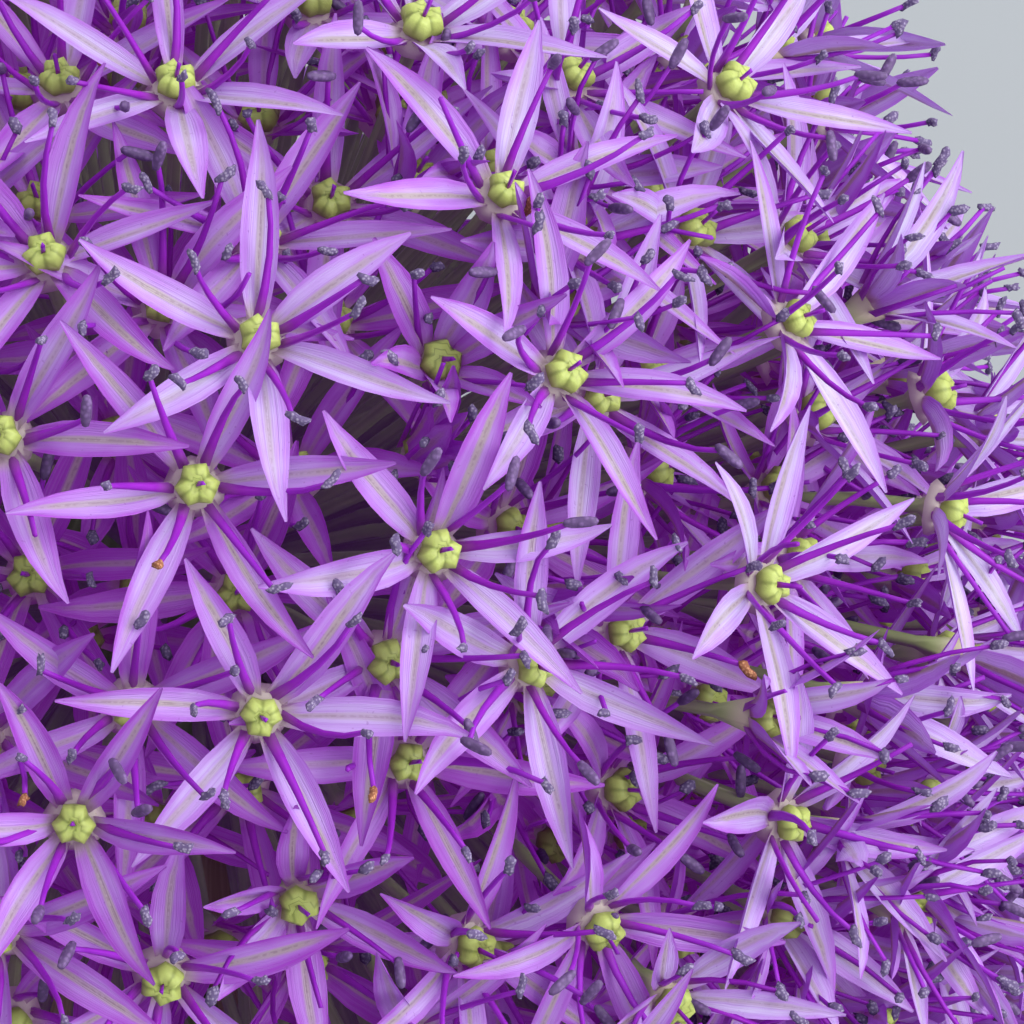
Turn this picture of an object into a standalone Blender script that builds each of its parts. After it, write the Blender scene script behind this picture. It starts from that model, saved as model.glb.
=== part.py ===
"""Giant allium flower head, cut with a short length of its stalk and laid on its side.

The head is a ball of starry florets.  Each floret stands on its own thin pedicel, and
neighbouring pedicels meet at one foot on the knob at the top of the stalk, so that the
florets come away in sprays.  Papery bracts, which once wrapped the bud, hang below the knob.

The head is worked out in its own frame: the centre of the ball is the origin, +Z is the
crown and the stalk runs along -Z.  An empty then lays the whole head on the surface z = 0.
Lengths are in metres and angles in degrees unless a name says otherwise.
"""

import math

import bmesh
import bpy
import numpy as np
from mathutils import Matrix, Vector
from mathutils.bvhtree import BVHTree

MM = 0.001

# --- How the head lies
CENTRE_HEIGHT = 64.5 * MM      # centre of the ball above the surface
CROWN_LIFT = 26.0              # the crown points this far above the surface

# --- Stalk and knob
STALK_NECK_RADIUS = 4.7 * MM
STALK_CUT_RADIUS = 5.7 * MM
KNOB_RADIUS = 11.5 * MM
KNOB_EDGE_POLAR = 146.0        # the knob's ball ends here, measured from the crown
STALK_SIDES = 24
NECK_TOP = -17.0 * MM          # the stalk stops tapering here, below the knob
KNOB_FOOT = -13.0 * MM         # the knob starts to swell here
KNOB_FOOT_SWELL = 0.3 * MM
KNOB_RINGS = 8

# --- Florets
FLORET_COUNT = 480             # directions tried; the most crowded stay empty
FLORET_REACH = 63.0 * MM       # centre of the ball to the base of a usual floret's tepals
REACH_LIMITS = (51.0 * MM, 66.0 * MM)
STALK_CLEAR_POLAR = 157.0      # no floret stands nearer to the stalk than this
TEPALS = 6
TEPAL_LENGTH = 14.4 * MM       # from the floret's centre to the tip of a tepal
OPEN_CUP = 16.0                # an open floret's tepals rise this far from flat
CUP_LIMITS = (8.0, 34.0)       # from a wide open floret to one squeezed by its neighbours
TEPAL_SPREAD = 4.0             # how far a tepal may stray from its even place
NOTCH_RADIUS = 2.7 * MM        # where two tepals part
OVARY_RADIUS = 1.7 * MM
OVARY_HEIGHT = 2.9 * MM
COLLAR_HEIGHT = 0.7 * MM       # where the ovary leaves the tepals
HUB_DEPTH = 1.3 * MM           # where the pedicel widens into the tepals
PEDICEL_RADIUS = 0.6 * MM
CLEARANCE = 0.22 * MM          # between any two florets

# --- Sprays
SPRAY_COUNT = 56
FOOT_EDGE_POLAR = 137.0        # the lowest feet on the knob
FOOT_RADIUS = 1.8 * MM
FOOT_HEIGHT = 1.7 * MM
SEAT_GAP = 0.3 * MM

# --- Bracts
BRACT_COUNT = 3
BRACT_LENGTH = 27.0 * MM
BRACT_HALF_ANGLE = 47.0        # how far each bract wraps round the stalk at its widest
BRACT_TOP = -13.6 * MM
BRACT_STAND_OFF = 1.1 * MM     # from the neck of the stalk to the middle of the bract's base
BRACT_FLARE = 4.6 * MM         # how much farther out the free end stands
BRACT_CURL = 0.5 * MM          # how much farther out its edges stand at the free end
BRACT_WAVE = 0.4 * MM
BRACT_THICKNESS = 0.5 * MM
BRACT_BASE, BRACT_TAPER = 0.18, 0.78    # the part of a sine wave that gives its width
BRACT_COLUMNS, BRACT_ROWS = 6, 8
FIRST_BRACT = 100.0            # bearing of the first bract round the stalk

# Florets of the upper side, set by hand.  Seen from above with the crown at the top, each
# row gives degrees to the right, degrees up, the turn of its first tepal clockwise from
# the crown, and its reach in millimetres.
UPPER_FLORETS = (
    (26, 14, 47, 63), (6, 16, 57, 63), (41, 1, 7, 63), (45, -14, 37, 63), (24, 26, 19, 63),
    (47, 18, 46, 63), (17, 3, 18, 62), (24, -4, 52, 61), (6, -7, 37, 62), (-10, 10, 36, 62),
    (2, 7, 14, 61), (-2, -7, 8, 60), (17, -11, 29, 61), (6, -14, 41, 60), (31, -21, 23, 62),
    (22, -23, 4, 60), (0, -24, 7, 62), (-11, -21, 2, 62), (12, -28, 50, 61), (15, -4, 12, 57),
    (68, 14, 57, 62), (1, 35, 55, 61), (-8, 22, 15, 61), (14, 30, 58, 62), (44, 26, 34, 62),
    (14, 22, 30, 59), (33, 25, 20, 61), (32, 14, 25, 58), (57, 25, 10, 61), (-10, 29, 40, 60),
    (-9, 38, 5, 61), (7, 25, 35, 58), (0, 20, 45, 58), (48, 34, 50, 60), (36, 37, 15, 61),
    (50, 3, 30, 58), (33, -2, 50, 58), (43, -24, 10, 60), (57, -11, 25, 60), (70, -23, 40, 61),
    (19, -30, 30, 61), (-12, -9, 55, 61), (-10, 2, 20, 59), (39, 46, 5, 61), (80, 6, 30, 62),
    (80, -7, 5, 62), (80, -17, 30, 62), (78, 36, 20, 62), (80, -29, 0, 61),
)
HAND_SET_JITTER = 5.0          # turn a hand-set floret may give up to clear its neighbours
TRIES = 600                    # places tried before a crowded floret is left out
TRIES_PER_STEP = 60            # after this many, the search loosens by one step
NEIGHBOUR_COSINE = 0.82        # florets farther apart than this can't touch
BETWEEN_COSINE = 0.95          # a floret this close to a hand-set one stands behind it
STEP_BACK = 4.0 * MM

rng = np.random.default_rng(41)


# ---------------------------------------------------------------- helpers


def clear_scene():
    """Start from an empty scene."""
    for thing in list(bpy.data.objects):
        bpy.data.objects.remove(thing, do_unlink=True)


def material(name, colour, roughness):
    """A plain finish for one kind of plant tissue."""
    finish = bpy.data.materials.new(name)
    finish.use_nodes = True
    shader = finish.node_tree.nodes["Principled BSDF"]
    shader.inputs["Base Color"].default_value = (*colour, 1.0)
    shader.inputs["Roughness"].default_value = roughness
    shader.inputs["Metallic"].default_value = 0.0
    return finish


def object_from(bm, name, finish, collection, parent):
    """One closed sub-part, hung on the empty that lays the head down."""
    bmesh.ops.recalc_face_normals(bm, faces=bm.faces)
    mesh = bpy.data.meshes.new(name)
    bm.to_mesh(mesh)
    bm.free()
    mesh.materials.append(finish)
    part = bpy.data.objects.new(name, mesh)
    part.parent = parent
    collection.objects.link(part)
    return part


def direction(right, up):
    """The head-frame direction seen from above at these degrees right and up."""
    right, up = math.radians(right), math.radians(up)
    return Vector((math.sin(right) * math.cos(up), -math.cos(right) * math.cos(up), math.sin(up)))


def facing(axis, lean=(0.0, 0.0)):
    """A frame whose Z is axis, leaned a little, and whose Y points to the crown."""
    towards_crown = Vector((0, 0, 1)) - axis * axis.z
    towards_crown.normalize()
    right = towards_crown.cross(axis)
    leaned = (axis + right * lean[0] + towards_crown * lean[1]).normalized()
    towards_crown = (towards_crown - leaned * leaned.dot(towards_crown)).normalized()
    right = towards_crown.cross(leaned)
    return Matrix((right, towards_crown, leaned)).transposed()


def height_of(empty_turn, point):
    """Height of a head-frame point above the surface."""
    return (empty_turn @ point).z + CENTRE_HEIGHT


# ---------------------------------------------------------------- where the florets stand


def floret_directions():
    """The hand-set florets, then the rest, each as far from its neighbours as it can be."""
    chosen = [direction(right, up) for right, up, _, _ in UPPER_FLORETS]
    lowest = math.cos(math.radians(STALK_CLEAR_POLAR))
    while len(chosen) < FLORET_COUNT:
        height = rng.uniform(lowest, 1.0, 40)
        around = rng.uniform(0.0, 2 * math.pi, 40)
        flat = np.sqrt(1.0 - height**2)
        tries = np.column_stack((flat * np.cos(around), flat * np.sin(around), height))
        nearest = (tries @ np.array(chosen).T).max(axis=1)
        chosen.append(Vector(tries[nearest.argmin()]))
    return chosen


def foot_directions():
    """Feet of the sprays, evenly spread over the knob on a golden-angle spiral."""
    lowest = math.cos(math.radians(FOOT_EDGE_POLAR))
    golden = math.pi * (3 - math.sqrt(5))
    feet = []
    for place in range(SPRAY_COUNT):
        height = 1.0 - (1.0 - lowest) * (place + 0.5) / SPRAY_COUNT
        flat = math.sqrt(1.0 - height * height)
        feet.append(Vector((flat * math.cos(golden * place), flat * math.sin(golden * place), height)))
    return feet


def squeezed(axis):
    """Where a floret's direction falls on the knob, whose feet stop short of the stalk."""
    polar = math.acos(max(-1.0, min(1.0, axis.z))) * FOOT_EDGE_POLAR / STALK_CLEAR_POLAR
    flat = Vector((axis.x, axis.y, 0)).normalized()
    return flat * math.sin(polar) + Vector((0, 0, math.cos(polar)))


class Foot:
    """The small cone on the knob where the pedicels of one spray meet."""

    def __init__(self, place, members, axes):
        centre = place * (KNOB_RADIUS + SEAT_GAP)
        self.members = members
        self.sides = max(3, len(members))
        aim = sum((axes[member] for member in members), Vector()) * FLORET_REACH / len(members)
        self.frame = facing(place).to_4x4()
        self.frame.translation = centre
        seen = self.frame.inverted()
        tilt = seen @ aim
        self.middle = Vector((tilt.x, tilt.y, 0)) * (FOOT_HEIGHT / tilt.z)
        bearings = {}
        for member in members:
            spot = seen @ (axes[member] * FLORET_REACH) - tilt
            bearings[member] = math.atan2(spot.y, spot.x)
        self.order = sorted(members, key=bearings.get)
        sector = 2 * math.pi / self.sides
        offsets = [bearings[member] - sector * (slot + 0.5) for slot, member in enumerate(self.order)]
        self.start = math.atan2(sum(map(math.sin, offsets)), sum(map(math.cos, offsets)))

    def corner(self, slot):
        """A corner of the cone's base."""
        bearing = self.start + 2 * math.pi * slot / self.sides
        return Vector((FOOT_RADIUS * math.cos(bearing), FOOT_RADIUS * math.sin(bearing), 0))

    def peak(self):
        """The cone's tip, moved towards the middle of the spray."""
        return self.middle + Vector((0, 0, FOOT_HEIGHT))

    def sector(self, member, shrink=0.0):
        """The triangle of the cone that this floret's pedicel grows from."""
        slot = self.order.index(member)
        corners = [self.peak(), self.corner(slot), self.corner(slot + 1)]
        middle = sum(corners, Vector()) / 3
        return [self.frame @ corner.lerp(middle, shrink) for corner in corners]


# ---------------------------------------------------------------- one floret


RIM = 2 * TEPALS               # tips and notches in turn
CORNERS = 3                    # a pedicel and an ovary are three-sided


class Floret:
    """One star with its place, its turn and its six tepals."""

    def __init__(self, axis, reach, turn, lean, cup):
        self.frame = facing(axis, lean).to_4x4()
        self.frame.translation = axis * reach
        self.axis = axis
        self.turn = turn
        lengths = rng.uniform(0.95, 1.05, TEPALS) * TEPAL_LENGTH
        cups = np.radians(cup + rng.uniform(-6.0, 6.0, TEPALS))
        self.reaches = lengths * np.cos(cups)
        self.rises = lengths * np.sin(cups)
        self.swings = rng.uniform(-TEPAL_SPREAD, TEPAL_SPREAD, TEPALS)

    def point(self, clockwise, radius, height):
        """A point of the floret, its bearing measured clockwise from the crown side."""
        bearing = math.radians(self.turn + clockwise)
        return self.frame @ Vector((radius * math.sin(bearing), radius * math.cos(bearing), height))

    def rim(self, outwards=0.0, lift=0.0):
        """Notches and tips in turn, starting with the notch before the first tip."""
        points = []
        for tepal in range(TEPALS):
            points.append(self.point(60 * tepal - 30, NOTCH_RADIUS + outwards, lift))
            reach = self.reaches[tepal] + outwards
            points.append(self.point(60 * tepal + self.swings[tepal], reach, self.rises[tepal] + lift))
        return points

    def ring(self, radius, height):
        """Three corners round the axis, each facing the middle of a third of the rim."""
        return [self.point(120 * corner + 30, radius, height) for corner in range(CORNERS)]

    def sink(self, distance):
        """Move the whole floret towards the centre of the head."""
        self.frame.translation -= self.axis * distance


def loft_to_ring(rim, ring):
    """Triangles between a rim of tips and notches and a three-cornered ring inside it."""
    faces = []
    share = RIM // CORNERS
    for corner in range(CORNERS):
        for step in range(share):
            here = share * corner + step
            faces.append((rim[here], rim[(here + 1) % RIM], ring[corner]))
        seam = (share * corner + share) % RIM
        faces.append((rim[seam], ring[(corner + 1) % CORNERS], ring[corner]))
    return faces


def untwisted(base, ring):
    """The order of a base triangle's corners that joins a ring with the least twist."""
    turned = [base[shift:] + base[:shift] for shift in range(CORNERS)]
    turned += [list(reversed(order)) for order in turned]
    return min(turned, key=lambda order: sum((a - b).length for a, b in zip(order, ring)))


def guard_tree(floret, foot, member, swell):
    """A floret and its pedicel as a closed shape, swollen when it still looks for its place."""
    points = floret.rim(swell, -swell) + floret.rim(swell, swell)
    lower, upper = list(range(RIM)), list(range(RIM, 2 * RIM))
    collar = list(range(2 * RIM, 2 * RIM + CORNERS))
    top = [index + CORNERS for index in collar]
    base = [index + CORNERS for index in top]
    peak = base[-1] + 1
    points += floret.ring(OVARY_RADIUS + swell, COLLAR_HEIGHT + swell)
    ring = floret.ring(PEDICEL_RADIUS + swell, -HUB_DEPTH - swell)
    points += ring
    points += untwisted(foot.sector(member, shrink=0.15), ring)
    points.append(floret.point(0, 0.0, OVARY_HEIGHT + swell))
    faces = loft_to_ring(upper, collar) + loft_to_ring(lower, top)
    for here in range(RIM):
        after = (here + 1) % RIM
        faces.append((lower[here], lower[after], upper[after], upper[here]))
    for here in range(CORNERS):
        after = (here + 1) % CORNERS
        faces.append((collar[here], collar[after], peak))
        faces.append((top[here], top[after], base[after], base[here]))
    return BVHTree.FromPolygons(points, faces)


def tried_floret(axis, hand_set, usual_reach, loose):
    """A floret in this direction; the looser the search, the more it may give way."""
    if hand_set:
        _, _, turn, reach = hand_set
        turn += rng.uniform(-HAND_SET_JITTER, HAND_SET_JITTER) * min(loose, 2.0)
        reach = reach * MM + rng.normal(0.0, 0.5 * MM * loose)
        lean = rng.normal(0.0, 0.05 * min(loose + 0.4, 2.0), 2)
        cup = OPEN_CUP
    else:
        turn = rng.uniform(0.0, 360.0 / TEPALS)
        reach = usual_reach + rng.normal(-loose * MM, (1.5 + loose) * MM)
        lean = rng.normal(0.0, 0.10 + 0.04 * min(loose, 2.0), 2)
        cup = rng.normal(1.3 * OPEN_CUP + 3.0 * loose, 6.0)
    low, high = REACH_LIMITS
    flat, closed = CUP_LIMITS
    return Floret(axis, min(max(reach, low), high), turn, lean, min(max(cup, flat), closed))


def place_florets(axes, feet_of, empty_turn):
    """Give each floret a place of its own that keeps it clear of those already placed."""
    placed, trees = {}, {}
    for member, axis in enumerate(axes):
        foot = feet_of[member]
        hand_set = UPPER_FLORETS[member] if member < len(UPPER_FLORETS) else None
        nearest_hand_set = max(axis.dot(other) for other in axes[:len(UPPER_FLORETS)])
        usual_reach = FLORET_REACH - (STEP_BACK if nearest_hand_set > BETWEEN_COSINE else 0.0)
        near = [other for other in placed if placed[other].axis.dot(axis) > NEIGHBOUR_COSINE]
        for attempt in range(TRIES):
            floret = tried_floret(axis, hand_set, usual_reach, attempt / TRIES_PER_STEP)
            lowest = min(height_of(empty_turn, point) for point in floret.rim())
            if lowest < 0.0:
                drop = height_of(empty_turn, axis) - CENTRE_HEIGHT
                floret.sink(lowest / drop)
            guard = guard_tree(floret, foot, member, CLEARANCE)
            if not any(guard.overlap(trees[other]) for other in near):
                placed[member] = floret
                trees[member] = guard_tree(floret, foot, member, 0.0)
                break
    return placed


# ---------------------------------------------------------------- solids


def spray_solid(foot, placed):
    """The foot, with a pedicel drawn out of each side of its cone and a star on each."""
    bm = bmesh.new()
    cone = bmesh.ops.create_cone(bm, segments=foot.sides, radius1=FOOT_RADIUS, radius2=0,
                                 depth=FOOT_HEIGHT, cap_ends=True, cap_tris=False)["verts"]
    peak = max(cone, key=lambda vert: vert.co.z)
    base = sorted((vert for vert in cone if vert is not peak),
                  key=lambda vert: math.atan2(vert.co.y, vert.co.x))
    peak.co = foot.peak()
    for slot, vert in enumerate(base):
        vert.co = foot.corner(slot)
    sides = {}
    for face in bm.faces:
        if peak in face.verts:
            slots = {base.index(vert) for vert in face.verts if vert is not peak}
            last_to_first = slots == {0, foot.sides - 1}
            sides[max(slots) if last_to_first else min(slots)] = face
    bmesh.ops.transform(bm, matrix=foot.frame, verts=bm.verts)
    for slot, member in enumerate(foot.order):
        if member not in placed:
            continue
        floret = placed[member]
        end = bmesh.ops.extrude_discrete_faces(bm, faces=[sides[slot]])["faces"][0]
        ring = floret.ring(PEDICEL_RADIUS, -HUB_DEPTH)
        corners = untwisted([vert.co.copy() for vert in end.verts], ring)
        spots = {tuple(corner): spot for corner, spot in zip(corners, ring)}
        verts = sorted(end.verts, key=lambda vert: corners.index(vert.co))
        for vert in verts:
            vert.co = spots[tuple(vert.co)]
        bmesh.ops.delete(bm, geom=[end], context="FACES_ONLY")
        rim = [bm.verts.new(point) for point in floret.rim()]
        collar = [bm.verts.new(point) for point in floret.ring(OVARY_RADIUS, COLLAR_HEIGHT)]
        tip = bm.verts.new(floret.point(0, 0.0, OVARY_HEIGHT))
        for corners in loft_to_ring(rim, collar) + loft_to_ring(rim, verts):
            bm.faces.new(corners)
        for here in range(CORNERS):
            bm.faces.new((collar[here], collar[(here + 1) % CORNERS], tip))
    bmesh.ops.triangulate(bm, faces=bm.faces)
    return bm


def stalk_solid(stalk_length):
    """Stalk and knob: a turned profile from the cut end to the top of the knob."""
    edge = math.radians(KNOB_EDGE_POLAR)
    profile = [(0.0, -stalk_length), (STALK_CUT_RADIUS, -stalk_length)]
    for part in (0.25, 0.5, 0.75, 1.0):
        radius = STALK_CUT_RADIUS + (STALK_NECK_RADIUS - STALK_CUT_RADIUS) * part
        profile.append((radius, -stalk_length + (stalk_length + NECK_TOP) * part))
    profile.append((STALK_NECK_RADIUS + KNOB_FOOT_SWELL, KNOB_FOOT))
    for ring in range(KNOB_RINGS):
        polar = edge * (1 - ring / KNOB_RINGS)
        profile.append((KNOB_RADIUS * math.sin(polar), KNOB_RADIUS * math.cos(polar)))
    profile.append((0.0, KNOB_RADIUS))
    bm = bmesh.new()
    verts = [bm.verts.new((radius, 0, height)) for radius, height in profile]
    edges = [bm.edges.new(pair) for pair in zip(verts, verts[1:])]
    bmesh.ops.spin(bm, geom=verts + edges, cent=(0, 0, 0), axis=(0, 0, 1), angle=2 * math.pi,
                   steps=STALK_SIDES, use_merge=True)
    bmesh.ops.remove_doubles(bm, verts=bm.verts, dist=0.01 * MM)
    bmesh.ops.triangulate(bm, faces=bm.faces)
    return bm


def bract_solid(around):
    """One papery bract: a pointed leaf that hugs the stalk and flares at its free end."""
    bm = bmesh.new()
    bmesh.ops.create_grid(bm, x_segments=BRACT_COLUMNS, y_segments=BRACT_ROWS, size=1.0)
    for vert in bm.verts:
        across, along = vert.co.x, (vert.co.y + 1) / 2
        width = math.sin(math.pi * (BRACT_BASE + BRACT_TAPER * along)) ** 0.8
        bearing = math.radians(around + across * BRACT_HALF_ANGLE * width)
        away = STALK_NECK_RADIUS + BRACT_STAND_OFF + BRACT_FLARE * along**1.6
        away += BRACT_CURL * along * across**2 + BRACT_WAVE * along * math.sin(5 * along + 3 * across)
        vert.co = (away * math.cos(bearing), away * math.sin(bearing), BRACT_TOP - BRACT_LENGTH * along)
    bmesh.ops.recalc_face_normals(bm, faces=bm.faces)
    bmesh.ops.solidify(bm, geom=bm.faces, thickness=BRACT_THICKNESS)
    bmesh.ops.triangulate(bm, faces=bm.faces)
    return bm


# ---------------------------------------------------------------- the whole head


def build():
    """Make every sub-part, lay the head down and stand it over the origin."""
    clear_scene()
    collection = bpy.data.collections.new("giant_allium_head")
    bpy.context.scene.collection.children.link(collection)
    petal = material("petal", (0.36, 0.14, 0.55), 0.55)
    stalk = material("stalk", (0.22, 0.30, 0.08), 0.5)
    paper = material("bract", (0.62, 0.52, 0.36), 0.8)

    laid = bpy.data.objects.new("laid_down", None)
    collection.objects.link(laid)
    laid.rotation_euler = (math.radians(CROWN_LIFT - 90), 0, 0)
    turn = laid.rotation_euler.to_matrix()

    lift = math.radians(CROWN_LIFT)
    stalk_length = (CENTRE_HEIGHT - STALK_CUT_RADIUS * math.cos(lift)) / math.sin(lift)
    parts = [object_from(stalk_solid(stalk_length), "stalk", stalk, collection, laid)]
    for place in range(BRACT_COUNT):
        bract = bract_solid(FIRST_BRACT + 360 * place / BRACT_COUNT)
        parts.append(object_from(bract, f"papery_bract_{place + 1}", paper, collection, laid))

    axes = floret_directions()
    places = foot_directions()
    groups = [[] for _ in places]
    for member, axis in enumerate(axes):
        spot = squeezed(axis)
        groups[max(range(SPRAY_COUNT), key=lambda place: places[place].dot(spot))].append(member)
    feet = [Foot(place, members, axes) for place, members in zip(places, groups) if members]
    feet_of = {member: foot for foot in feet for member in foot.members}
    placed = place_florets(axes, feet_of, turn)
    for place, foot in enumerate(feet):
        spray = spray_solid(foot, placed)
        parts.append(object_from(spray, f"floret_spray_{place + 1:02d}", petal, collection, laid))

    corners = [turn @ vert.co for part in parts for vert in part.data.vertices]
    low = [min(corner[axis] for corner in corners) for axis in range(2)]
    high = [max(corner[axis] for corner in corners) for axis in range(2)]
    laid.location = (-(low[0] + high[0]) / 2, -(low[1] + high[1]) / 2, CENTRE_HEIGHT)
    print("florets placed", len(placed), "of", len(axes))
    print("triangles", sum(len(part.data.polygons) for part in parts))
    print("lowest point", min(corner.z for corner in corners) + CENTRE_HEIGHT)


build()
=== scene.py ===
# %% [markdown]
# # A giant allium head, cut and laid on its side
#
# The head is a ball of several hundred starry florets. Each floret has six narrow tepals,
# six purple filaments tipped with anthers, and a green ovary in the middle. A thin green
# pedicel carries it from the knob at the top of the stalk.
#
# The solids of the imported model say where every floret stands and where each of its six
# tips lies. This script reads those places back and grows the fine flower on them, so
# nothing has to be fitted by eye.

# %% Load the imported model
from math import atan2, cos, exp, hypot, pi, radians, sin

import bmesh
import bpy
import numpy as np
from mathutils import Matrix, Vector


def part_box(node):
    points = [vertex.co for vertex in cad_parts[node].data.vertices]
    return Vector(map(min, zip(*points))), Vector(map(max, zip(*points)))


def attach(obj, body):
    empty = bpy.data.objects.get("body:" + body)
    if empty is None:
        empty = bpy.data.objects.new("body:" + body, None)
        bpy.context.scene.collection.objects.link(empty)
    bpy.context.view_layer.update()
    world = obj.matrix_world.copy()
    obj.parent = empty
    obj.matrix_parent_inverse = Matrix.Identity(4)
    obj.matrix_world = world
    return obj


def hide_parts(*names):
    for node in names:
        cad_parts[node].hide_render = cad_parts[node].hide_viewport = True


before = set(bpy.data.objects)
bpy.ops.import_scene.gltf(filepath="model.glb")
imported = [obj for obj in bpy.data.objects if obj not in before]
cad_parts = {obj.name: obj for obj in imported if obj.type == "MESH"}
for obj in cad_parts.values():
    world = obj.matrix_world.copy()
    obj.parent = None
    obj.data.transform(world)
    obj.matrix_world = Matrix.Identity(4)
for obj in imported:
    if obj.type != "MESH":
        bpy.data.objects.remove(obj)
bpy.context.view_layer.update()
MM = 0.001
rng = np.random.default_rng(7)
print("solids in the frame:", len(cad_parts))

# %% [markdown]
# ## Where the head lies
#
# The crown leans up from the surface and the stalk slopes down to its cut end. A floret is
# easiest to shape in a frame of its own, so every place in the head is first worked out
# with the crown along +Z, and one matrix then lays it down.

# %% The head's own frame
CENTRE_HEIGHT = 64.5 * MM
CROWN_LIFT = radians(26.0)
STALK_CUT_RADIUS = 5.7 * MM
STALK_NECK_RADIUS = 4.7 * MM
KNOB_RADIUS = 11.5 * MM
STALK_LENGTH = (CENTRE_HEIGHT - STALK_CUT_RADIUS * cos(CROWN_LIFT)) / sin(CROWN_LIFT)

stalk_low, stalk_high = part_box("stalk")
centre = Vector((
    (stalk_low.x + stalk_high.x) / 2,
    stalk_low.y + STALK_LENGTH * cos(CROWN_LIFT) + STALK_CUT_RADIUS * sin(CROWN_LIFT),
    CENTRE_HEIGHT,
))
head = Matrix.Translation(centre) @ Matrix.Rotation(CROWN_LIFT - pi / 2, 4, "X")
lean = head.to_3x3()           # the same without the move, for directions
crown = (lean @ Vector((0, 0, 1))).normalized()
print("centre of the head:", [round(value / MM, 1) for value in centre], "mm")

# %% [markdown]
# ## The camera
#
# A long lens held square to the crown, high over the head, fills the view with florets and
# keeps the near ones and the far ones almost the same size.

# %% Camera
CAMERA_DISTANCE, LENS = 480 * MM, 220.0
AIM_RIGHT, AIM_UP = 26.8 * MM, 6.8 * MM


def look_at(place, target, up):
    """The matrix of a camera or lamp at place that faces target."""
    back = (place - target).normalized()
    right = up.cross(back).normalized()
    turn = Matrix((right, back.cross(right), back)).transposed().to_4x4()
    return Matrix.Translation(place) @ turn


def into_scene(name, data):
    """A new object in the scene, at the origin."""
    made = bpy.data.objects.new(name, data)
    bpy.context.scene.collection.objects.link(made)
    return made


camera = into_scene("camera", bpy.data.cameras.new("camera"))
camera.data.lens, camera.data.sensor_width = LENS, 36.0
camera.data.clip_start, camera.data.clip_end = 0.01, 20.0
towards_viewer = lean @ Vector((0, -1, 0))
aim = head @ Vector((AIM_RIGHT, 0, AIM_UP))
camera.matrix_world = look_at(centre + towards_viewer * CAMERA_DISTANCE, aim, crown)
bpy.context.scene.camera = camera
print("camera height:", round(camera.matrix_world.translation.z / MM), "mm")

# %% [markdown]
# ## Helpers for shader nodes
#
# A finish is a small graph of nodes. These helpers add a node, set its values and join it
# to others, so that each material below reads as a list of what it is made of.

# %% Node helpers


def feed(tree, socket, value):
    """Give a socket a value, or join another socket to it."""
    if isinstance(value, bpy.types.NodeSocket):
        tree.links.new(value, socket)
    else:
        socket.default_value = value


def add_node(tree, kind, inputs=None, **settings):
    """One node with its settings, and inputs given as values or as sockets to join."""
    node = tree.nodes.new(kind)
    for name, value in settings.items():
        setattr(node, name, value)
    for name, value in (inputs or {}).items():
        feed(tree, node.inputs[name], value)
    return node


def calculate(tree, operation, first, second=0.0, third=0.0, clamp=False):
    """The result of one Math node."""
    node = add_node(tree, "ShaderNodeMath", {0: first, 1: second, 2: third}, operation=operation)
    node.use_clamp = clamp
    return node.outputs[0]


def remap(tree, value, low, high, to_low=0.0, to_high=1.0):
    """A value eased from one range to another and held at its ends."""
    node = add_node(tree, "ShaderNodeMapRange", {"Value": value, "From Min": low, "From Max": high,
                                                 "To Min": to_low, "To Max": to_high})
    node.interpolation_type = "SMOOTHSTEP"
    return node.outputs["Result"]


print("ready: nodes, sums and ranges")

# %% Colours and places


def mix(tree, factor, first, second):
    """Two colours mixed by a factor, each a tuple or a socket."""
    node = tree.nodes.new("ShaderNodeMix")
    node.data_type = "RGBA"
    feed(tree, node.inputs[0], factor)
    for socket, value in ((node.inputs[6], first), (node.inputs[7], second)):
        feed(tree, socket, (*value, 1.0) if isinstance(value, tuple) else value)
    return node.outputs[2]


def object_place(tree):
    """Where a point lies in the piece's own space, which here is the world's."""
    return add_node(tree, "ShaderNodeTexCoord").outputs["Object"]


def tinged(tree, colour, tinge, mask, share):
    """A colour mixed with another where a mask shows, by no more than a share."""
    return mix(tree, calculate(tree, "MULTIPLY", mask, share), colour, tinge)


def ramp(tree, value, stops):
    """Colours along a value, given as pairs of place and colour."""
    node = add_node(tree, "ShaderNodeValToRGB", {"Fac": value})
    elements = node.color_ramp.elements
    while len(elements) < len(stops):
        elements.new(0.5)
    for element, (place, colour) in zip(elements, stops):
        element.position, element.color = place, (*colour, 1.0)
    return node.outputs["Color"]


print("ready: mixes, tinges and ramps")

# %% Groups, textures and materials


def new_group(name, inputs, outputs):
    """An empty node group. An input is a number, or None where a vector comes in."""
    tree = bpy.data.node_groups.new(name, "ShaderNodeTree")
    for label, default in inputs.items():
        kind = "NodeSocketVector" if default is None else "NodeSocketFloat"
        socket = tree.interface.new_socket(label, in_out="INPUT", socket_type=kind)
        if default is not None:
            socket.default_value = default
    for label in outputs:
        tree.interface.new_socket(label, in_out="OUTPUT", socket_type="NodeSocketFloat")
    return tree, tree.nodes.new("NodeGroupInput"), tree.nodes.new("NodeGroupOutput")


def noise(tree, place, scale, roughness=0.5):
    """The value of a Noise Texture with a little detail."""
    node = add_node(tree, "ShaderNodeTexNoise", {"Vector": place, "Scale": scale, "Detail": 1.0,
                                                 "Roughness": roughness})
    return node.outputs["Fac"]


def grains(tree, scale):
    """How far each point is from the middle of its grain."""
    node = add_node(tree, "ShaderNodeTexVoronoi", {"Vector": object_place(tree), "Scale": scale})
    return node.outputs["Distance"]


def new_material(name):
    """A material with its shader and a helper that fills the shader's sockets."""
    material = bpy.data.materials.new(name)
    material.use_nodes = True
    tree = material.node_tree
    shader = tree.nodes["Principled BSDF"]

    def finish(**sockets):
        for label, value in sockets.items():
            feed(tree, shader.inputs[label.replace("_", " ")], value)

    return material, tree, finish


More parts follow.
